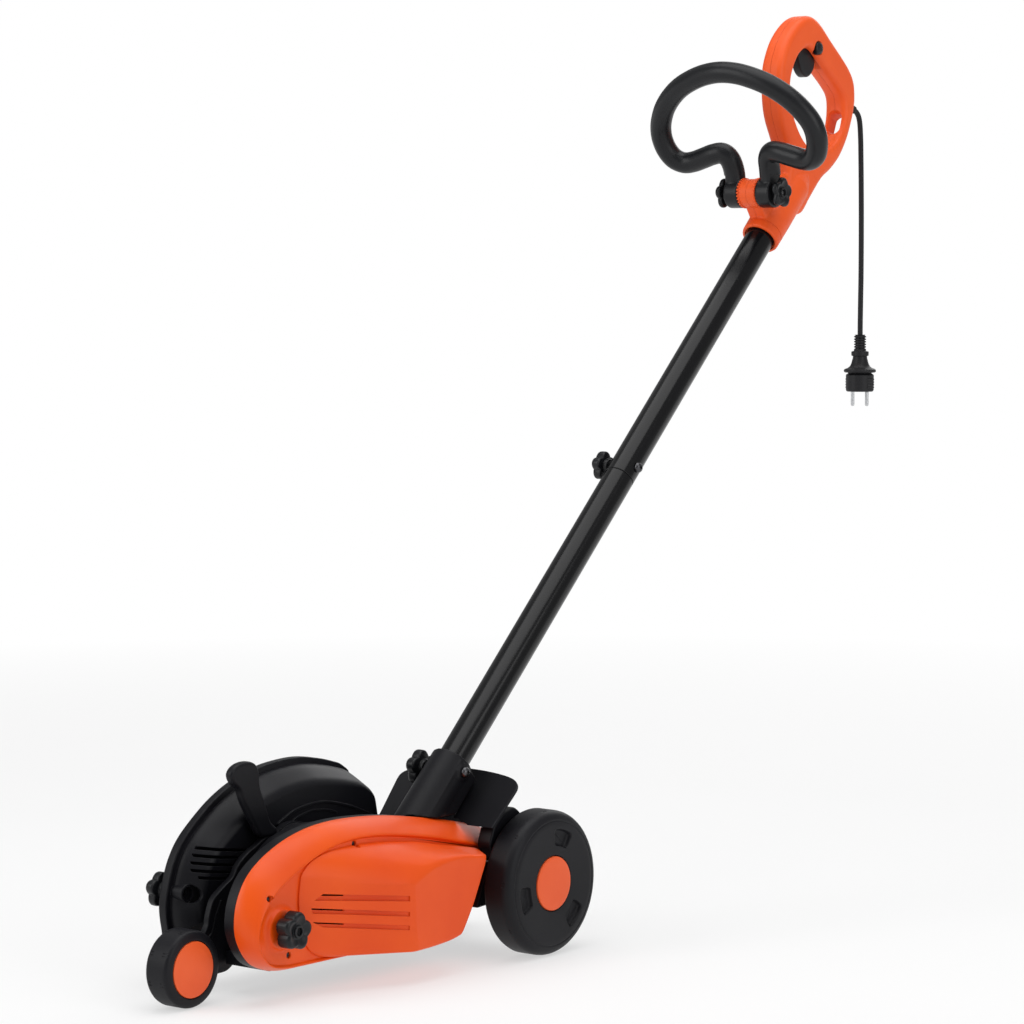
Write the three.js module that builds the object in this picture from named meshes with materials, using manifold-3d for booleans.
// Electric lawn edger: walk-behind, one cutting disc on the right side, two
// rear wheels, one small front wheel on a depth arm, two-piece straight shaft,
// closed grip handle and an adjustable loop handle.
//
// Working axes while building: X = 0 is the plane of the shaft, +X is the
// motor side (the walker's left), -Y is forwards, Z = 0 is the ground and
// Y = 0 is the rear axle. The finished group is moved so that the origin lies
// on the ground under the middle of the machine. Millimetres throughout.
// Outlines and centres are (y, z) pairs unless a comment says otherwise.

import * as THREE from 'three';
import { mergeVertices } from 'three/addons/utils/BufferGeometryUtils.js';
import Module from 'manifold-3d';

const wasm = await Module();
wasm.setup();

// ---------------------------------------------------------------- dimensions
const REAR_R = 81;              // rear wheel radius
const REAR_OUT = 110;           // outer face of a rear wheel
const AXLE = [0, REAR_R];
const FRONT_R = 40.6;           // front wheel radius
const FRONT_AXLE = [-448.5, FRONT_R];
const FRONT_ARM_X = -46.5;      // front wheel face beside the depth arm
const FRONT_CAP_X = -14.5;      // front wheel face with the hub cap
const TUBE_R = 18;              // shaft tube, outside
const TUBE_WALL = 1.6;
const TUBE_FIT_R = TUBE_R + 0.6; // bore that takes the tube
const SHAFT_A = [9, 265];       // two points on the shaft axis
const SHAFT_B = [534, 774];
const SPINDLE = [-255, 122];    // cutting disc axis
const MOTOR = [-214, 92];       // motor axis
const BLADE_R = 87;
const BLADE_X = -96;            // outer face of the cutting disc
const COVER_X = 18;             // joint between chassis and motor cover
const RIM_X = 46;               // outer plane of the cover rim
const BULGE_X = 92;             // outer plane of the motor bulge
const WALL = 3;
const GAP = 0.35;
const CHASSIS_X = COVER_X - GAP; // chassis face at the cover joint
const HUB = [547, 857];         // loop handle pivot
const HUB_HALF = 13.2;          // half width of the grip's hub
const EYE_OUT = 33.5;           // outer face of a loop handle eye
const LOOP_R = 13.2;            // loop handle tube
const CORD_R = 3.4;
const SOCKET_BOLT = [-54, 204];
const GUARD_BOLT = [-392, 105];
const COVER_BOLT = [-380, 80];
const SCREWS = [[-262, 153], [-396, 113], [-366, 50]];
const SCREW_SEAT_X = 38;
const BOLT_HOLE_R = 3.6;        // through holes in the shaft tubes and knobs

// ------------------------------------------------------------------- helpers
function signedVolume(points, corners) {
  const at = i => new THREE.Vector3().fromArray(points, corners[i] * 3);
  let sum = 0;
  for (let i = 0; i < corners.length; i += 3) sum += at(i).dot(at(i + 1).cross(at(i + 2)));
  return sum / 6;
}

function flipWinding(corners) {
  for (let i = 0; i < corners.length; i += 3) {
    [corners[i + 1], corners[i + 2]] = [corners[i + 2], corners[i + 1]];
  }
}

// closed geometry -> manifold, with its faces turned outwards
function solid(geometry) {
  for (const key of Object.keys(geometry.attributes)) {
    if (key !== 'position') geometry.deleteAttribute(key);
  }
  const merged = mergeVertices(geometry, 1e-3);
  const points = new Float32Array(merged.attributes.position.array);
  const source = merged.index.array;
  const corners = [];
  for (let i = 0; i < source.length; i += 3) {
    const [a, b, c] = source.slice(i, i + 3);
    if (a !== b && b !== c && a !== c) corners.push(a, b, c);
  }
  if (signedVolume(points, corners) < 0) flipWinding(corners);
  return new wasm.Manifold(new wasm.Mesh({
    numProp: 3, vertProperties: points, triVerts: new Uint32Array(corners),
  }));
}

function indexed(points, corners) {
  const geometry = new THREE.BufferGeometry();
  geometry.setAttribute('position', new THREE.Float32BufferAttribute(points, 3));
  geometry.setIndex(corners);
  return geometry;
}

const join = (...parts) => parts.reduce((sum, part) => sum.add(part));
const cut = (body, ...tools) => tools.reduce((rest, tool) => rest.subtract(tool), body);
const mirrorX = part => part.mirror([1, 0, 0]);
const vectors = points => points.map(([x, y]) => new THREE.Vector2(x, y));
const polar = (centre, radius, angle) =>
  [centre[0] + radius * Math.cos(angle), centre[1] + radius * Math.sin(angle)];

// sends a shape's own (x, y, depth) to (y, z, x)
const TO_X = new THREE.Matrix4().set(0, 0, 1, 0, 1, 0, 0, 0, 0, 1, 0, 0, 0, 0, 0, 1);

// prism over an outline between x0 and x1, with optional rounded edges;
// bevel is measured in the outline's plane, depth along X
function prism(outline, x0, x1, { bevel = 0, depth = bevel, steps = 2, hole } = {}) {
  const shape = new THREE.Shape(vectors(outline));
  if (hole) shape.holes.push(new THREE.Path(vectors(hole)));
  const geometry = new THREE.ExtrudeGeometry(shape, {
    depth: x1 - x0 - 2 * depth, bevelEnabled: bevel > 0, bevelSize: bevel,
    bevelOffset: -bevel, bevelThickness: depth, bevelSegments: steps,
  });
  geometry.applyMatrix4(TO_X);
  geometry.translate(x0 + depth, 0, 0);
  return solid(geometry);
}

// lathe geometry about Y; a profile that starts off the axis is closed on itself
function lathe(profile, sides) {
  const points = vectors(profile);
  if (profile[0][0] > 0) points.push(points[0].clone());
  return new THREE.LatheGeometry(points, sides);
}

// solid of revolution about the X direction through centre; profile of (radius, x)
function turn(profile, centre, sides = 28) {
  const geometry = lathe(profile, sides);
  geometry.rotateZ(-Math.PI / 2);
  geometry.translate(0, ...centre);
  return solid(geometry);
}
const rod = (radius, x0, x1, centre, sides = 16) =>
  turn([[0, x0], [radius, x0], [radius, x1], [0, x1]], centre, sides);
const ring = (inner, outer, x0, x1, centre, sides = 16) =>
  turn([[inner, x0], [outer, x0], [outer, x1], [inner, x1]], centre, sides);

// solid of revolution starting at one point and heading for another, both
// (x, y, z); profile of (radius, distance)
function turnAlong(profile, from, to, sides) {
  const start = new THREE.Vector3(...from);
  const heading = new THREE.Vector3(...to).sub(start).normalize();
  const geometry = lathe(profile, sides);
  geometry.applyQuaternion(
    new THREE.Quaternion().setFromUnitVectors(new THREE.Vector3(0, 1, 0), heading));
  geometry.translate(...start);
  return solid(geometry);
}

// cylinder or cone between two points
function bar(from, to, r0, r1, sides) {
  const length = new THREE.Vector3(...from).distanceTo(new THREE.Vector3(...to));
  return turnAlong([[0, 0], [r0, 0], [r1, length], [0, length]], from, to, sides);
}

function block(x0, x1, y0, y1, z0, z1) {
  const geometry = new THREE.BoxGeometry(x1 - x0, y1 - y0, z1 - z0);
  geometry.translate((x0 + x1) / 2, (y0 + y1) / 2, (z0 + z1) / 2);
  return solid(geometry);
}

// round bar swept along a smooth curve through (x, y, z) points
function sweep(points, radius, steps, sides) {
  const path = points.map(point => new THREE.Vector3(...point));
  const section = Array.from({ length: sides },
    (_, i) => polar([0, 0], radius, i / sides * 2 * Math.PI));
  return solid(new THREE.ExtrudeGeometry(new THREE.Shape(vectors(section)), {
    steps, bevelEnabled: false,
    extrudePath: new THREE.CatmullRomCurve3(path, false, 'catmullrom', 0.5),
  }));
}

// resamples an outline as a smooth curve in count steps
function smooth(outline, count, closed = true) {
  const points = outline.map(([y, z]) => new THREE.Vector3(y, z, 0));
  const curve = new THREE.CatmullRomCurve3(points, closed, 'catmullrom', 0.5);
  return Array.from({ length: closed ? count : count + 1 }, (_, i) => {
    const point = curve.getPoint(i / count);
    return [point.x, point.y];
  });
}

function area(outline) {
  return outline.reduce((sum, [y, z], i) => {
    const next = outline[(i + 1) % outline.length];
    return sum + y * next[1] - next[0] * z;
  }, 0) / 2;
}

// moves an outline inwards; distance is a number or a function of the point
function inset(outline, distance) {
  const turning = area(outline) > 0 ? 1 : -1;
  const count = outline.length;
  const normal = (from, to) => {
    const edge = [to[0] - from[0], to[1] - from[1]];
    const length = Math.hypot(...edge);
    return [-edge[1] / length * turning, edge[0] / length * turning];
  };
  return outline.map((point, i) => {
    const move = typeof distance === 'function' ? distance(point) : distance;
    const before = normal(outline[(i + count - 1) % count], point);
    const after = normal(point, outline[(i + 1) % count]);
    const mitre = [before[0] + after[0], before[1] + after[1]];
    // the floor limits the reach of sharp corners
    const scale = Math.max(0.5, (mitre[0] ** 2 + mitre[1] ** 2) / 2);
    return [point[0] + mitre[0] * move / scale, point[1] + mitre[1] * move / scale];
  });
}

// skin through equal-length outlines, each { x, outline }
function loft(sections) {
  const count = sections[0].outline.length;
  const points = sections.flatMap(({ x, outline }) => outline.flatMap(([y, z]) => [x, y, z]));
  const corners = [];
  for (let s = 0; s + 1 < sections.length; s++) {
    for (let i = 0; i < count; i++) {
      const next = (i + 1) % count;
      const a = s * count + i;
      const b = s * count + next;
      corners.push(a, b, b + count, a, b + count, a + count);
    }
  }
  // side faces wind the same way round as the caps
  if (area(sections[0].outline) <= 0) flipWinding(corners);
  const cap = (s, up) => {
    // a hair of unevenness keeps points along a straight edge in the triangulation
    const flat = sections[s].outline.map(([y, z], i) => new THREE.Vector2(
      y + 1e-3 * Math.sin(12.9 * i), z + 1e-3 * Math.sin(7.7 * i + 1)));
    const triangles = THREE.ShapeUtils.triangulateShape(flat, []);
    if (triangles.length !== count - 2) throw new Error('loft cap folds, x ' + sections[s].x);
    for (const [a, b, c] of triangles) {
      const ccw = flat[b].clone().sub(flat[a]).cross(flat[c].clone().sub(flat[a])) > 0;
      corners.push(...(ccw === up ? [a, b, c] : [a, c, b]).map(i => i + s * count));
    }
  };
  cap(0, false);
  cap(sections.length - 1, true);
  return solid(indexed(points, corners));
}

// ------------------------------------------------------------------ materials
const standard = settings => new THREE.MeshStandardMaterial(settings);
const MAT = {
  orange: standard({ color: 0xf0601f, roughness: 0.42, metalness: 0 }),
  orangeGrip: standard({ color: 0xee6a32, roughness: 0.5, metalness: 0 }),
  black: standard({ color: 0x232427, roughness: 0.5, metalness: 0 }),
  tube: standard({ color: 0x17181a, roughness: 0.25, metalness: 0.4 }),
  tyre: standard({ color: 0x26272a, roughness: 0.7, metalness: 0 }),
  steel: standard({ color: 0x9c9fa3, roughness: 0.35, metalness: 1 }),
  blade: standard({ color: 0x7f8388, roughness: 0.4, metalness: 1 }),
  copper: standard({ color: 0xb4713d, roughness: 0.4, metalness: 1 }),
  zinc: standard({ color: 0xb9bcc0, roughness: 0.35, metalness: 1 }),
  cord: standard({ color: 0x1b1b1d, roughness: 0.65, metalness: 0 }),
  nylon: standard({ color: 0xd9d4c6, roughness: 0.6, metalness: 0 }),
  alloy: standard({ color: 0xa7a9ab, roughness: 0.5, metalness: 1 }),
};

const edger = new THREE.Group();
function add(name, part, material) {
  const { vertProperties, triVerts } = part.getMesh();
  const geometry = indexed(vertProperties, new THREE.BufferAttribute(triVerts.slice(), 1));
  geometry.computeVertexNormals();
  const mesh = new THREE.Mesh(geometry, material);
  mesh.name = name;
  edger.add(mesh);
}

// ------------------------------------------------------------- shaft geometry
const SHAFT_LEN = Math.hypot(SHAFT_B[0] - SHAFT_A[0], SHAFT_B[1] - SHAFT_A[1]);
const SHAFT_DIR = [0, 1].map(i => (SHAFT_B[i] - SHAFT_A[i]) / SHAFT_LEN);
// (x, y, z) at a distance along the shaft, moved square to it (forwards) and sideways
const onShaft = (along, forward = 0, x = 0) => [
  x,
  SHAFT_A[0] + SHAFT_DIR[0] * along - SHAFT_DIR[1] * forward,
  SHAFT_A[1] + SHAFT_DIR[1] * along + SHAFT_DIR[0] * forward,
];
// distances along the shaft from SHAFT_A
const JOINT_AT = SHAFT_LEN * 0.520 - 20;
const JOINT_BOLT = onShaft(JOINT_AT + 18).slice(1);
const SOCKET_AT = (SOCKET_BOLT[0] - SHAFT_A[0]) * SHAFT_DIR[0]
  + (SOCKET_BOLT[1] - SHAFT_A[1]) * SHAFT_DIR[1];
const COLLAR_AT = SHAFT_LEN + 38;
const TUBE_LOW = SOCKET_AT - 44;
const TUBE_TOP = SHAFT_LEN + 118;

// -------------------------------------------------------------- body outline
// chassis and cover joint: round nose, falling back to a tail
const COVER = [
  ...smooth([
    [-372, 31], [-397, 41], [-412, 56], [-421, 74], [-422.5, 90], [-420, 106], [-413, 122],
    [-402, 136], [-386, 148], [-364, 159], [-338, 168], [-306, 174.5], [-268, 177],
    [-225, 175.5], [-180, 171], [-130, 163], [-80, 153.5], [-35, 143], [2, 130],
  ], 24, false),
  [5, 126], [-8, 119], [-40, 112], [-66, 100], [-84, 70], [-96, 42], [-106, 30],
];
// the thin tail takes only part of an inset, so that it never folds over
const tailShare = y => Math.min(1, Math.max(0.16, 1 - (y + 70) / 62 * 0.84));
const insetCover = distance => inset(COVER, ([y]) => distance * tailShare(y));

// --------------------------------------------------------------- motor cover
const RIM_INSET = 15;
const PANEL_INSET = 20;         // sunken panel inside the rim
// motor bulge at its root and at its outer face, point for point
const BULGE_ROOT = [
  [-78, 121], [-150, 135], [-215, 147], [-270, 149.5], [-318, 141], [-341, 127], [-350, 104],
  [-344, 66], [-322, 43], [-250, 38], [-128, 38], [-112, 52], [-96, 90],
];
const BULGE_FACE = [
  [-104, 122], [-150, 119], [-190, 111], [-220, 105], [-227, 100], [-229, 90], [-230, 72],
  [-229, 54], [-224, 42], [-190, 38.5], [-148, 39], [-134, 48], [-120, 88],
];

function coverRim() {
  // share of the height, share of the inset
  const stations = [[0, 0], [0.35, 0.18], [0.75, 0.55], [1, 1]];
  return loft(stations.map(([height, inward]) => ({
    x: COVER_X + (RIM_X - COVER_X) * height, outline: insetCover(RIM_INSET * inward),
  })));
}

function motorBulge(shrink, x0, x1) {
  // share of the height, share of the change from root to face, extra inset
  const stations = [[0, 0, 0], [0.18, 0.10, 0], [0.9, 0.92, 0], [1, 1, 2.5]];
  return loft(stations.map(([height, change, extra]) => {
    const mixed = BULGE_ROOT.map((root, i) =>
      root.map((value, k) => value + (BULGE_FACE[i][k] - value) * change));
    return { x: x0 + (x1 - x0) * height, outline: smooth(inset(mixed, shrink + extra), 22) };
  }));
}

function motorCover() {
  let cover = join(
    cut(coverRim(), prism(insetCover(PANEL_INSET), RIM_X - 3, RIM_X + 5)),
    motorBulge(0, RIM_X - 8, BULGE_X),
    rod(21, 30, RIM_X + 2.5, COVER_BOLT, 28),
  );
  const hollow = loft([
    { x: COVER_X - 1, outline: insetCover(WALL) },
    { x: 26, outline: insetCover(WALL + 3) },
    { x: 36, outline: insetCover(RIM_INSET) },
    { x: RIM_X - 3 - WALL, outline: insetCover(PANEL_INSET) },
  ]);
  cover = cut(cover, join(hollow, motorBulge(WALL, RIM_X - 9, BULGE_X - WALL)));
  // rear bearing seat and bolt post
  cover = join(cover, ring(8.3, 12, 78, BULGE_X - 2, MOTOR, 24),
    rod(10, COVER_X + 0.6, RIM_X, COVER_BOLT, 20));
  cover = cut(cover, rod(4.6, 0, 70, COVER_BOLT, 16));
  // air slots in two steps down the bulge's sloping front
  for (const z of [108, 97, 86]) {
    cover = cut(cover, block(50, 78, -318, -270, z - 2.6, z + 2.6),
      block(79, 90, -270.5, -226, z - 2.4, z + 2.4));
  }
  for (const screw of SCREWS) {
    cover = cut(join(cover, rod(5.5, COVER_X + 0.6, RIM_X - 4, screw, 14)),
      rod(3.4, SCREW_SEAT_X, RIM_X + 1, screw, 12), rod(2.1, COVER_X, 44, screw, 10));
  }
  return cover;
}
add('motor_cover', motorCover(), MAT.orange);
SCREWS.forEach((screw, i) => {
  const head = rod(3.0, SCREW_SEAT_X + 0.4, 41, screw, 12);
  const shank = rod(1.75, 8, SCREW_SEAT_X + 0.6, screw, 8);
  add(`cover_screw_${i + 1}`, join(head, shank), MAT.zinc);
});

// ------------------------------------------------------------------- chassis
const HOUSE = [
  [-352, 20], [-352, 80], [-347, 112], [-330, 138], [-303, 156], [-262, 167], [-200, 168],
  [60, 168], [60, 20],
];
const AXLE_ARM = [
  [-130, 58], [-60, 58], [-14, 62], [12, 66], [20, 81], [12, 96], [-14, 104], [-60, 118],
  [-130, 130],
];
const AXLE_ARM_MOTOR = [
  [-76, 58], [-14, 62], [12, 66], [20, 81], [12, 96], [-14, 104], [-50, 106], [-58, 96],
];
const FENDER = [
  [-14, 100], [-52, 108], [-64, 128], [-56, 148], [-40, 161], [-20, 166], [-8, 158],
  [-2, 140], [-6, 118],
];
const SOCKET_FOOT = [[-150, 128], [-150, 152], [-118, 158], [-30, 158], [-14, 138], [-40, 118]];

function chassisCavity(x0, x1) {
  const kept = insetCover(15).filter(([y, z]) => y < -140 && !(z < 60 && y > -330));
  return prism([...kept.map(([y, z]) => [y, Math.max(z, 36)]), [-142, 36]], x0, x1);
}

function chassisBase() {
  // the narrower housing on the blade side shares the flat underside
  const housing = prism(insetCover(11).map(([y, z]) => [y, z < 46 ? 31 : z]), -45, 4.5)
    .intersect(prism(HOUSE, -46, 5));
  const fender = prism(FENDER, 50, 69);
  let chassis = join(
    prism(COVER, 4, CHASSIS_X), housing,
    prism([[-368, 30], [-104, 30], [-104, 44], [-368, 44]], -45, CHASSIS_X),
    rod(29, -61.5, -44, SPINDLE, 24),
    prism(AXLE_ARM, -58, 2), prism(AXLE_ARM_MOTOR, 1, 60),
    fender, mirrorX(fender), prism(SOCKET_FOOT, -30, 16),
  );
  chassis = cut(chassis, chassisCavity(7, COVER_X + 1),
    chassisCavity(-41, 7.2).intersect(prism(inset(HOUSE, 4), -42, 8)));
  // spindle bearing seat, then the bores for spindle, axle and screws
  chassis = join(chassis, ring(16.2, 22, -42, -33, SPINDLE, 20));
  return cut(chassis, rod(16.2, -43.5, -30, SPINDLE, 20), rod(8.5, -70, -40, SPINDLE, 20),
    rod(5.6, -70, 70, AXLE, 16), ...SCREWS.map(screw => rod(2.2, 6, 30, screw, 10)));
}
add('chassis_base', chassisBase(), MAT.black);

// ------------------------------------------------------- motor and gear train
const PINION_TEETH = 12;
const GEAR_TEETH = 34;
const SPINDLE_OFFSET = [SPINDLE[0] - MOTOR[0], SPINDLE[1] - MOTOR[1]];
const GEAR_MODULE = 2 * Math.hypot(...SPINDLE_OFFSET) / (PINION_TEETH + GEAR_TEETH);
const MESH_ANGLE = Math.atan2(SPINDLE_OFFSET[1], SPINDLE_OFFSET[0]);
const SHAFT_BORE_R = 4.45;      // parts that sit on the motor shaft

function gearOutline(centre, teeth, phase) {
  const pitch = GEAR_MODULE * teeth / 2;
  const tip = pitch + 0.62 * GEAR_MODULE;
  const root = pitch - 0.95 * GEAR_MODULE;
  // radius, angle from the tooth's middle in half pitches
  const tooth = [[root, -0.62], [tip, -0.24], [tip, 0.24], [root, 0.62]];
  return Array.from({ length: teeth }, (_, i) => tooth.map(([radius, share]) =>
    polar(centre, radius, phase + (2 * i + share) * Math.PI / teeth))).flat();
}

function gearPlate() {
  const outline = smooth([
    [-330, 66], [-336, 116], [-312, 142], [-255, 150], [-195, 142], [-165, 120], [-160, 76],
    [-182, 56], [-250, 52], [-308, 54],
  ], 16);
  const plate = join(prism(outline, 2, 6), ring(12, 19, 2, 12.5, SPINDLE, 20),
    ring(9, 15, 2, 14, MOTOR, 28));
  return cut(plate, rod(14.0, 0, 10, SPINDLE, 20), rod(9.2, 0, 20, SPINDLE, 20),
    rod(10.0, 0, 12, MOTOR, 24), rod(6, 0, 20, MOTOR, 20));
}

function armature() {
  const core = Array.from({ length: 24 }, (_, i) =>
    polar(MOTOR, i % 4 < 2 ? 17.5 : 15, i / 24 * 2 * Math.PI));
  return join(rod(4, -8, 88, MOTOR), rod(2.9, -25, -7.5, MOTOR), prism(core, 34, 60));
}

function motorFan() {
  const vane = block(17.8, 26.8, 8.4, 28.4, -0.8, 0.8);
  let fan = join(ring(SHAFT_BORE_R, 9, 16, 29, MOTOR, 24), ring(8.5, 29, 26.5, 28.5, MOTOR, 20));
  for (let i = 0; i < 6; i++) {
    fan = fan.add(vane.rotate([i * 60, 0, 0]).translate([0, ...MOTOR]));
  }
  return fan;
}

const pinion = prism(gearOutline(MOTOR, PINION_TEETH, MESH_ANGLE), -24, -12);
const gearPhase = MESH_ANGLE + Math.PI + Math.PI / GEAR_TEETH;
const gear = prism(gearOutline(SPINDLE, GEAR_TEETH, gearPhase), -23, -13);
add('drive_pinion', cut(pinion, rod(3.2, -30, 0, MOTOR)), MAT.steel);
add('driven_gear', cut(gear, rod(7.4, -30, 0, SPINDLE, 20)), MAT.nylon);
add('blade_spindle',
  join(rod(7, -89, 13, SPINDLE, 20), rod(5, BLADE_X - 5, -88.5, SPINDLE)), MAT.steel);
add('spindle_bearing_outer', ring(7.45, 15.8, -43, -34, SPINDLE), MAT.steel);
add('spindle_bearing_inner', ring(7.45, 13.6, 2.4, 9.6, SPINDLE), MAT.steel);
add('gear_plate', gearPlate(), MAT.alloy);
add('motor_bearing_front', ring(SHAFT_BORE_R, 9.6, 2.4, 11.6, MOTOR), MAT.steel);
add('motor_bearing_rear', ring(SHAFT_BORE_R, 7.9, 80, 88.5, MOTOR), MAT.steel);
add('armature', armature(), MAT.steel);
add('commutator', ring(SHAFT_BORE_R, 9, 66, 74, MOTOR), MAT.copper);
add('motor_fan', motorFan(), MAT.nylon);
add('motor_stator',
  join(ring(19, 29.5, 34, 60, MOTOR, 20), ring(22, 28, 31.5, 62.5, MOTOR, 20)), MAT.copper);

// --------------------------------------------------------- cutting disc stack
const BLADE_BORE_R = 5.4;

function edgerBlade() {
  // one of three teeth: radius, angle in degrees
  const tooth = [[24, -34], [40, -14], [BLADE_R, -9], [BLADE_R, 9], [52, 16], [30, 30]];
  const outline = [100, 220, 340].flatMap(middle => tooth.map(([radius, angle]) =>
    polar(SPINDLE, radius, (middle + angle) * Math.PI / 180)));
  return cut(prism(outline, BLADE_X, BLADE_X + 3), rod(BLADE_BORE_R, -110, -80, SPINDLE, 20));
}
add('edger_blade', edgerBlade(), MAT.blade);
add('blade_flange_inner', ring(BLADE_BORE_R, 17, -92.6, -89.4, SPINDLE), MAT.zinc);
add('blade_flange_outer',
  ring(BLADE_BORE_R, 15, BLADE_X - 2, BLADE_X - GAP, SPINDLE), MAT.zinc);
add('blade_nut', cut(rod(9, BLADE_X - 5.4, BLADE_X - 2.4, SPINDLE, 6),
  rod(BLADE_BORE_R, -105, -90, SPINDLE)), MAT.zinc);

// --------------------------------------------------------------- blade guard
const GUARD_Z = 54;             // lower edge
const GUARD = [
  ...smooth([
    [-403, GUARD_Z], [-406, 66], [-408.5, 79], [-409, 95], [-404, 117], [-395, 140],
    [-380, 161], [-356, 181], [-330, 198], [-299, 212], [-263, 222.5], [-230, 226.5],
    [-196, 226.8], [-162, 221.5], [-130, 213],
  ], 22, false),
  [-114, 203], [-108, 174], [-106, 120], [-106, GUARD_Z],
];
// front end of each vent's middle line; all end at VENT_END_Y
const GUARD_VENTS = [[-376, 151], [-380, 143.6], [-384, 136.2], [-386, 128.8], [-383, 121.4]];
const VENT_END_Y = -302;

// the dome steps in along the top and nose; the rear end stays upright
function domeOutline(distance, back = 0) {
  return inset(GUARD, distance).map(([y, z], i) => {
    const edge = GUARD[i];
    const upright = Math.min(1, Math.max(0, (edge[0] + 185) / 45));
    const endY = edge[0] + distance * 0.3 - back;
    const endZ = edge[1] - distance * 0.95;
    const isEnd = i === 0 || i === GUARD.length - 1;
    return [
      y + (endY - y) * upright,
      isEnd ? GUARD_Z : Math.max(z + (endZ - z) * upright, 54.5 + i * 1e-3),
    ];
  });
}
// hollow of the dome, run out below the lower edge
const hollowOutline = (distance, limit) => domeOutline(distance, 4.5)
  .map(([y, z], i) => [y, z < limit ? 40 + i * 1e-3 : z]);

function bladeGuard() {
  // x, inset
  const dome = [[-93, 7], [-84, 9], [-70, 18], [-61.9, 27]]
    .map(([x, distance]) => ({ x, outline: domeOutline(distance) }));
  // x, inset, height below which the hollow is open
  const hollow = [[-103, 9.8, 60], [-90, 10, 60], [-82, 13, 62], [-70, 22, 62], [-65, 30, 62]]
    .map(([x, distance, limit]) => ({ x, outline: hollowOutline(distance, limit) }));
  // lower front opening around the depth arm
  const armOpening = [
    [-440, 40], [-440, 54], [-405, 58], [-352, 98], [-318, 98], [-318, 40],
  ];
  let guard = cut(join(prism(GUARD, -102, -92), loft(dome)), loft(hollow),
    rod(9.5, -70, -55, SPINDLE, 24), prism(armOpening, -89, -50));
  for (const [y, z] of GUARD_VENTS) {
    const endZ = z - 0.14 * (VENT_END_Y - y);
    const vent = [[y, z - 1.7], [VENT_END_Y, endZ - 1.7], [VENT_END_Y, endZ + 1.7], [y, z + 1.7]];
    guard = cut(guard, prism(vent, -82, -50));
  }
  guard = join(guard, rod(9, -102, -84, GUARD_BOLT));
  return cut(guard, rod(3.4, -110, -86, GUARD_BOLT, 12));
}
add('blade_guard', bladeGuard(), MAT.black);

const sideOutline = inset(GUARD, 3).map(([y, z]) => [y, z < 62 ? 54.5 : z]);
add('guard_side_plate', cut(prism(sideOutline, -105.6, -102.4, { bevel: 1, steps: 1 }),
  rod(BOLT_HOLE_R, -120, -95, GUARD_BOLT, 12)), MAT.black);

// ---------------------------------------------------------------- depth frame
const ARM = [
  [-290, 152], [-318, 147], [-340, 134], [-351, 120], [-366, 111], [-381, 100], [-388, 84],
  [-391, 72], [-403, 62], [-432, 56], [-452, 54], [-463, 41], [-452, 27], [-424, 22],
  [-376, 20], [-352, 26], [-322, 60], [-286, 84],
];
// stout post with a rounded, hooked cap
const LEVER = [
  [-284, 156], [-307, 157], [-318, 171], [-326, 183], [-335, 198], [-341, 211], [-350, 219],
  [-354, 228], [-350, 235], [-342, 239], [-332, 240.5], [-322, 239.5], [-314, 235],
  [-310, 226], [-309, 213], [-304, 200], [-298, 186], [-292, 172], [-282, 163],
];

function depthArm() {
  const arm = join(prism(smooth(ARM, 36), -57, -49), ring(30, 45, -57, -49, SPINDLE, 24));
  return join(
    cut(arm, rod(30, -60, -46, SPINDLE, 24), rod(4.8, -70, -40, FRONT_AXLE)),
    ring(4.8, 11, -57, -47.2, FRONT_AXLE, 20));
}

// the lever's foot is cut to stand on the arm
function depthLever() {
  const foot = [[-292, 152], [-330, 148.6], [-366, 134.6], [-366, 120], [-292, 120]];
  return cut(prism(smooth(LEVER, 30), -58.5, -47.5, { bevel: 2.5 }),
    rod(46.5, -70, -40, SPINDLE, 36), prism(foot, -70, -40));
}
add('depth_arm', depthArm(), MAT.black);
add('depth_lever', depthLever(), MAT.black);
add('front_axle', rod(4.3, -58, -18.5, FRONT_AXLE), MAT.zinc);

// --------------------------------------------------------------------- wheels
// wheel and cap profiles are (radius, x)
add('front_wheel', turn([
  [5, FRONT_ARM_X + 0.5], [33, FRONT_ARM_X + 0.5], [36, FRONT_ARM_X],
  [39.4, FRONT_ARM_X + 2], [FRONT_R, FRONT_ARM_X + 5.5], [FRONT_R, FRONT_CAP_X - 6],
  [39.5, FRONT_CAP_X - 2.2], [36, FRONT_CAP_X - 0.4], [31, FRONT_CAP_X],
  [30.2, FRONT_CAP_X - 0.6], [30.2, FRONT_CAP_X - 3.6], [5, FRONT_CAP_X - 3.6],
], FRONT_AXLE, 24), MAT.tyre);
add('front_hub_cap', turn([
  [0, FRONT_CAP_X - 3.2], [29.6, FRONT_CAP_X - 3.2], [29.6, FRONT_CAP_X - 0.6],
  [28.4, FRONT_CAP_X + 0.3], [0, FRONT_CAP_X + 0.6],
], FRONT_AXLE, 36), MAT.orange);

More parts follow.
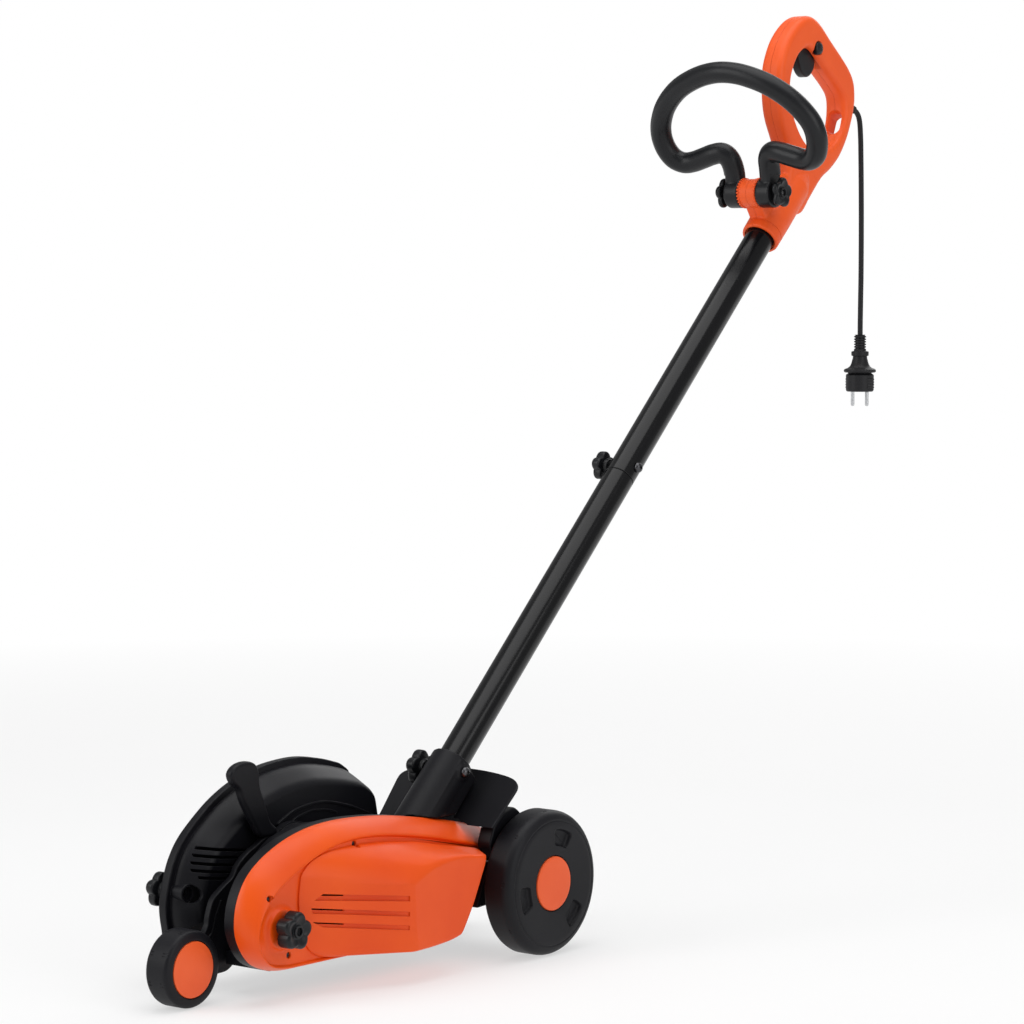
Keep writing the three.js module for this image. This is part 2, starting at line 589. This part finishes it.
function rearWheel() {
  let wheel = turn([
    [5.8, 74], [24, 74], [24, 79], [66, 79], [66, 72], [76, 72], [REAR_R, 77], [REAR_R, 98],
    [78, 106], [71, 109.2], [64, REAR_OUT], [31, REAR_OUT - 1], [31, REAR_OUT - 4.6],
    [5.8, REAR_OUT - 4.6],
  ], AXLE);
  // shallow pockets in the outer face
  for (const degrees of [-47, 73, 193]) {
    const angles = [-0.2, 0, 0.2].map(offset => degrees * Math.PI / 180 + offset);
    const outer = angles.map(angle => polar(AXLE, 56, angle));
    const inner = angles.map(angle => polar(AXLE, 44, angle)).reverse();
    wheel = cut(wheel, prism([...outer, ...inner], REAR_OUT - 6, REAR_OUT + 2));
  }
  return wheel;
}
const leftWheel = rearWheel();
const leftCap = turn([
  [0, REAR_OUT - 4.2], [30.3, REAR_OUT - 4.2], [30.3, REAR_OUT - 1], [29, REAR_OUT + 0.1],
  [0, REAR_OUT + 0.7],
], AXLE, 36);
add('rear_wheel_left', leftWheel, MAT.tyre);
add('rear_wheel_right', mirrorX(leftWheel), MAT.tyre);
add('hub_cap_left', leftCap, MAT.orange);
add('hub_cap_right', mirrorX(leftCap), MAT.orange);
add('rear_axle', rod(5, -105, 105, AXLE, 20), MAT.zinc);

// --------------------------------------------------------------- debris flap
const FLAP_LOW = -176;          // lower edge, as a distance along the shaft
const FLAP_THICK = 3.2;

// wide sheet parallel to the shaft, arched along its top edge, ends curled forwards
function flapSheet() {
  const columns = 12;
  const rows = 5;
  const points = [];
  const corners = [];
  // across runs from -1 to 1 over the width
  const place = (across, along, lift) => {
    const flare = 8 * Math.min(1, Math.max(0, (along - FLAP_LOW) / 92));
    return onShaft(along, -32 + 6 * across * across + lift, across * (78 + flare));
  };
  for (const lift of [0, FLAP_THICK]) {
    for (let i = 0; i <= columns; i++) {
      const across = -1 + 2 * i / columns;
      const side = Math.abs(across);
      const top = -60.5 - 14 * side ** 2 - 9 * side ** 12;
      const bottom = FLAP_LOW + 6 * across * across;
      for (let j = 0; j <= rows; j++) {
        const up = j / rows;
        const narrowed = across * (1 - 0.05 * up ** 6 * side);
        points.push(...place(narrowed, bottom + (top - bottom) * up, lift));
      }
    }
  }
  const id = (face, i, j) => (face * (columns + 1) + i) * (rows + 1) + j;
  const quad = (a, b, c, d) => corners.push(a, b, c, a, c, d);
  for (let i = 0; i < columns; i++) {
    const next = i + 1;
    for (let j = 0; j < rows; j++) {
      quad(id(0, i, j), id(0, next, j), id(0, next, j + 1), id(0, i, j + 1));
      quad(id(1, i, j), id(1, i, j + 1), id(1, next, j + 1), id(1, next, j));
    }
    quad(id(0, i, 0), id(1, i, 0), id(1, next, 0), id(0, next, 0));
    quad(id(0, i, rows), id(0, next, rows), id(1, next, rows), id(1, i, rows));
  }
  for (let j = 0; j < rows; j++) {
    quad(id(0, 0, j), id(0, 0, j + 1), id(1, 0, j + 1), id(1, 0, j));
    quad(id(0, columns, j), id(1, columns, j), id(1, columns, j + 1), id(0, columns, j + 1));
  }
  return solid(indexed(points, corners));
}

function debrisFlap() {
  const axleRoom = [[-260, 20], [-260, 118], [-96, 126], [20, 150], [60, 150], [60, 20]];
  const footRoom = [[-152, 100], [-152, 154], [-118, 160], [-28, 160], [-11, 138], [-38, 100]];
  // clears the top of the body; (x, drop) pairs
  const bodyRoom = [[-46, 0], [26, 0], [44, 6], [95, 6]].map(([x, drop]) => ({
    x,
    outline: [
      [-260, 20], [-260, 182 - drop], [-180, 174 - drop], [-130, 166.5 - drop],
      [-80, 157 - drop], [-35, 146.5 - drop], [5, 133.5 - drop], [60, 133.5 - drop], [60, 20],
    ],
  }));
  const wheelRoom = rod(88, 66, 130, AXLE, 28);
  return cut(flapSheet(), prism(axleRoom, -90, 90), loft(bodyRoom), mirrorX(wheelRoom),
    wheelRoom, prism(footRoom, -32, 18));
}
add('debris_flap', debrisFlap(), MAT.black);

// ---------------------------------------------------------------- shaft parts
function shaftSocket() {
  const low = SOCKET_AT - 70;
  const high = SOCKET_AT + 11.5;
  // squared body around the bore, deeper behind it to carry the bolt
  const body = [[low, -25], [high, -25], [high, 14], [low, 14]]
    .map(([along, forward]) => onShaft(along, forward).slice(1));
  // stands on the foot of the chassis
  const footing = [
    [-260, 60], [-260, 172], [-200, 170], [-175, 166], [-150.4, 161], [-118, 158.4],
    [-29.6, 158.4], [-13.5, 138.2], [20, 100], [20, 60],
  ];
  const socket = join(bar(onShaft(SOCKET_AT - 112), onShaft(SOCKET_AT + 12), 25.5, 24, 20),
    prism(body, -23.5, 23.5, { bevel: 2, steps: 1 }));
  return cut(socket,
    bar(onShaft(SOCKET_AT - 47), onShaft(SOCKET_AT + 60), TUBE_FIT_R, TUBE_FIT_R, 20),
    rod(4, -60, 60, SOCKET_BOLT), prism(footing, -60, 60),
    prism(inset(COVER, -0.6), 3.5, 60));
}

function tube(from, to, outer, inner) {
  const length = to - from;
  return turnAlong([[inner, 0], [outer, 0], [outer, length], [inner, length]],
    onShaft(from), onShaft(to), 18);
}
const boltHole = centre => rod(BOLT_HOLE_R, -60, 60, centre, 14);

// carries a stepped spigot that plugs into the upper tube
function lowerTube() {
  const fit = TUBE_R - TUBE_WALL;
  const spigot = turnAlong([
    [fit - 1.6, 0], [fit + 0.5, 0], [fit + 0.5, 39.8], [fit - 0.15, 39.8], [fit - 0.15, 82],
    [fit - 1.6, 82],
  ], onShaft(JOINT_AT - 40), onShaft(JOINT_AT + 42), 18);
  const lower = cut(tube(TUBE_LOW, JOINT_AT, TUBE_R, fit), boltHole(SOCKET_BOLT));
  return cut(join(lower, spigot), boltHole(JOINT_BOLT));
}
add('shaft_socket', shaftSocket(), MAT.black);
add('lower_tube', lowerTube(), MAT.tube);
add('upper_tube', cut(tube(JOINT_AT + 0.6, TUBE_TOP, TUBE_R, TUBE_R - TUBE_WALL + 0.35),
  boltHole(JOINT_BOLT)), MAT.tube);

// ------------------------------------------------------------ bolts and knobs
// through bolt with a pan head on the motor side
function clampBolt(centre, headX, tipX) {
  const head = [
    [0, headX - 0.01], [6.2, headX - 0.01], [6.2, headX + 2], [4.4, headX + 4],
    [0, headX + 4.6],
  ];
  return join(rod(3.1, tipX, headX, centre, 12), turn(head, centre, 16));
}

// five-lobed clamping knob from its back to its face along X
function knob(centre, radius, backX, faceX,
  { bore = BOLT_HOLE_R, depth = 9, phase = 0.3 } = {}) {
  const side = Math.sign(faceX - backX);
  const shoulderX = backX + side * 5;
  const star = Array.from({ length: 20 }, (_, i) => {
    const angle = i / 20 * 2 * Math.PI;
    const lobe = Math.tanh(2.2 * (Math.cos(5 * (angle - phase)) + 0.35)) / Math.tanh(2.2);
    return polar(centre, radius * (0.91 + 0.09 * lobe), angle);
  });
  const neckX = backX + side * 5.5;
  const neck = [[0, backX], [radius * 0.48, backX], [radius * 0.6, neckX], [0, neckX]];
  const body = join(
    prism(star, Math.min(shoulderX, faceX), Math.max(shoulderX, faceX), { bevel: 2, steps: 1 }),
    turn(neck, centre, 12));
  return cut(body, rod(bore, backX - side, backX + side * depth, centre, 14));
}
add('socket_bolt', clampBolt(SOCKET_BOLT, 26, -36), MAT.zinc);
add('socket_knob', knob(SOCKET_BOLT, 20, -28.4, -45.5), MAT.black);
add('shaft_bolt', clampBolt(JOINT_BOLT, TUBE_R + 0.4, -30), MAT.zinc);
add('shaft_knob', knob(JOINT_BOLT, 17.5, -22.4, -39), MAT.black);
add('cover_knob',
  knob(COVER_BOLT, 20.5, RIM_X + 3, RIM_X + 25, { depth: 12, phase: 0.15 }), MAT.black);
add('cover_knob_bolt', rod(3.1, 8, RIM_X + 14.5, COVER_BOLT, 12), MAT.zinc);
add('guard_knob', knob(GUARD_BOLT, 19, -106.2, -122, { depth: 10 }), MAT.black);
add('guard_bolt', rod(2.9, -114, -88, GUARD_BOLT, 12), MAT.zinc);

// -------------------------------------------------------------- grip handle
const GRIP_OUTER = smooth([
  [606, 890], [611, 906], [601, 926], [590, 946], [584, 965], [581.5, 990], [583, 1012],
  [589, 1030], [600, 1049], [617, 1066], [636, 1077.5], [656, 1081], [676, 1073], [699, 1055],
  [724, 1036], [744, 1019], [755, 1003], [758, 984], [756, 968], [749, 948], [738, 926],
  [722, 905], [702, 889], [680, 876], [655, 852], [634, 832], [612, 838], [600, 860],
], 34);
const GRIP_OPENING = smooth([
  [650, 1040], [672, 1027], [695, 1010], [716, 995], [729, 982], [731, 964], [726, 944],
  [711, 926], [690, 915], [664, 913], [640, 925], [622, 945], [611, 968], [608, 990],
  [613, 1010], [628, 1031],
], 18);
const HUB_WEB = [
  [HUB[0] - 8, HUB[1] + 14], [620, 885], [612, 838], [575, 812], [562, 818],
  [HUB[0] - 2, HUB[1] - 15],
];
const TRIGGER_SLOT = [
  [626, 1026], [634, 1052], [652, 1064], [676, 1054], [682, 1030], [690, 1006], [660, 990],
  [636, 1000],
];
const TRIGGER = [
  [634, 1044], [650, 1052], [668, 1040], [676, 1022], [668, 1008], [656, 1003], [644, 1010],
  [636, 1026],
];
const LOCK_BUTTON = [668, 1041];
const SWITCH = [701, 1031];
const SWITCH_TILT = -0.7;

// tilted rectangle about the switch centre
function switchOutline(half, low, high) {
  const cos = Math.cos(SWITCH_TILT);
  const sin = Math.sin(SWITCH_TILT);
  return [[-half, low], [half, low], [half, high], [-half, high]]
    .map(([u, v]) => [SWITCH[0] + u * cos - v * sin, SWITCH[1] + u * sin + v * cos]);
}

// upright slot with round ends through the rear of the grip
function rearSlot() {
  const shape = new THREE.Shape();
  shape.absarc(0, 7, 7, 0, Math.PI, false);
  shape.absarc(0, -7, 7, Math.PI, 2 * Math.PI, false);
  const geometry = new THREE.ExtrudeGeometry(shape,
    { depth: 60, bevelEnabled: false, curveSegments: 10 });
  geometry.rotateX(Math.PI / 2 - 0.28);
  geometry.translate(0, 770, 938);
  return solid(geometry);
}

function gripBody() {
  const collar = [[0, 0], [24, 0], [24.5, 40], [24, 96], [16, 118], [0, 118]];
  const hole = GRIP_OPENING.slice().reverse();
  const grip = join(
    prism(GRIP_OUTER, -16.5, 16.5, { bevel: 9, depth: 10, hole }),
    turnAlong(collar, onShaft(COLLAR_AT), onShaft(COLLAR_AT + 118), 20),
    rod(17.5, -HUB_HALF, HUB_HALF, HUB, 20),
    prism(HUB_WEB, -13, 13, { bevel: 3, steps: 1 }));
  return cut(grip,
    bar(onShaft(COLLAR_AT - 5), onShaft(TUBE_TOP + 1), TUBE_FIT_R, TUBE_FIT_R, 20),
    rod(4.2, -40, 40, HUB, 14), prism(TRIGGER_SLOT, -8, 8),
    prism(switchOutline(16, -8, 9), -10, 10), rod(8.4, 7.5, 30, LOCK_BUTTON), rearSlot(),
    // cord exit
    bar([0, 736, 973.4], [0, 790, 967], 4.2, 4.2, 14));
}
const grip = gripBody();
const leftHalf = block(0.18, 40, 480, 820, 760, 1100);
add('handle_left_shell', grip.intersect(leftHalf), MAT.orangeGrip);
add('handle_right_shell', grip.intersect(mirrorX(leftHalf)), MAT.orangeGrip);
add('trigger', prism(smooth(TRIGGER, 24), -7, 7, { bevel: 2 }), MAT.black);
add('trigger_spring', cut(
  prism([[658, 1060], [666, 1056.2], [663.8, 1051.6], [655.8, 1055.4]], -3, 3),
  rod(1.2, -6, 6, [660, 1055.4], 8)), MAT.zinc);
add('lock_button', turn([[0, 12], [7.9, 12], [7.9, 17.4], [6.5, 18.8], [0, 19.4]],
  LOCK_BUTTON, 16), MAT.black);
add('switch_module', prism(switchOutline(14, -6.5, 7.5), -9, 9), MAT.black);

// -------------------------------------------------------- cord, relief, plug
const PLUG_Y = 795;
const PLUG_Z = 604;             // plug face that the pins leave
const PIN_OFFSET = 9.5;         // from the plug's axis
const PIN_TURN = 0.3;           // turn of the pin pair about the plug's axis

function strainRelief() {
  const sleeve = turnAlong([[0, 0], [6.2, 0], [6.4, 3], [5.2, 18], [0, 18]],
    [0, 757.8, 970.6], [0, 776, 968.2], 20);
  return cut(sleeve, bar([0, 750, 971.6], [0, 790, 966.5], CORD_R + 1.3, CORD_R + 1.3, 12));
}
add('strain_relief', strainRelief(), MAT.cord);
add('power_cord', sweep([
  [0, 737, 973.3], [0, 760, 970.3], [0, 777, 968.0], [0, 788.5, 958], [0, 793, 935],
  [0, 794, 900], [0, PLUG_Y, 800], [0, PLUG_Y, 661],
], CORD_R, 22, 7), MAT.cord);

// upright bar at a plug pin, on side -1 or 1; heights are from the plug face
function pinBar(side, radius, low, high) {
  const [x, y] = polar([0, PLUG_Y], side * PIN_OFFSET, PIN_TURN);
  return bar([x, y, PLUG_Z + low], [x, y, PLUG_Z + high], radius, radius, 12);
}

function plugBody() {
  // radius, height above the plug face
  const profile = [
    [0, 0], [17, 0], [18.2, 2], [18.2, 22], [15, 24.4], [19.5, 25], [20.8, 27], [20.8, 29],
    [14, 32], [11, 37], [9.5, 42], [9.2, 46], [11, 48], [11, 52], [7.6, 54], [7, 74], [0, 74],
  ];
  const at = height => [0, PLUG_Y, PLUG_Z + height];
  return cut(turnAlong(profile, at(0), at(96), 14),
    bar(at(51), at(86), CORD_R + 0.4, CORD_R + 0.4, 14),
    pinBar(-1, 2.7, -4, 8), pinBar(1, 2.7, -4, 8));
}
add('plug_body', plugBody(), MAT.black);
[-1, 1].forEach((side, i) => {
  add(`plug_pin_${i + 1}`, pinBar(side, 2.35, -19, 7.6), MAT.zinc);
});

// --------------------------------------------------------------- loop handle
// (x, y, z) from the left eye to the middle of the loop
const LOOP_HALF = [
  [26.6, 546.5, 864], [26.6, 543.5, 884], [29, 537.5, 899], [37, 533.5, 906.5],
  [50, 531.8, 905.5], [66, 532.5, 901], [81, 533, 897], [94, 531, 896], [105.5, 525.5, 901.5],
  [112.3, 518.5, 913], [114.5, 512, 926.5], [112.3, 506, 939], [106, 499.5, 951],
  [96, 492.5, 963.5], [82, 486, 975.5], [64, 480, 986.5], [43, 476, 995], [22, 474, 1000.5],
  [0, 473, 1002.5],
];

function loopHandle() {
  const rightHalf = LOOP_HALF.slice(0, -1).map(([x, y, z]) => [-x, y, z]);
  const eye = rod(18.5, HUB_HALF + 0.4, EYE_OUT, HUB, 18);
  const seat = block(EYE_OUT, 90, 520, 600, 820, 879);
  const loop = join(sweep([...rightHalf, ...LOOP_HALF.slice().reverse()], LOOP_R, 48, 8),
    mirrorX(eye), eye);
  // flat outer seats for the knobs, then room for the bolt and the grip's hub
  return cut(loop, seat, mirrorX(seat), rod(4.2, -60, 60, HUB, 14),
    rod(20, -HUB_HALF - 0.2, HUB_HALF + 0.2, HUB, 18));
}
const loopKnob = (side, phase) =>
  knob(HUB, 19, side * (EYE_OUT + 0.5), side * 46, { bore: 3.5, depth: 9.5, phase });
add('loop_handle', loopHandle(), MAT.black);
add('loop_bolt', rod(3.1, -42.5, 42.5, HUB, 14), MAT.zinc);
add('loop_knob_left', loopKnob(1, 0.2), MAT.black);
add('loop_knob_right', loopKnob(-1, 0.5), MAT.black);

// origin: on the ground, under the middle of the machine
edger.updateMatrixWorld(true);
const bounds = new THREE.Box3().setFromObject(edger);
const middle = bounds.getCenter(new THREE.Vector3());
edger.position.set(-middle.x, -middle.y, -bounds.min.z);
edger.updateMatrixWorld(true);

export default edger;
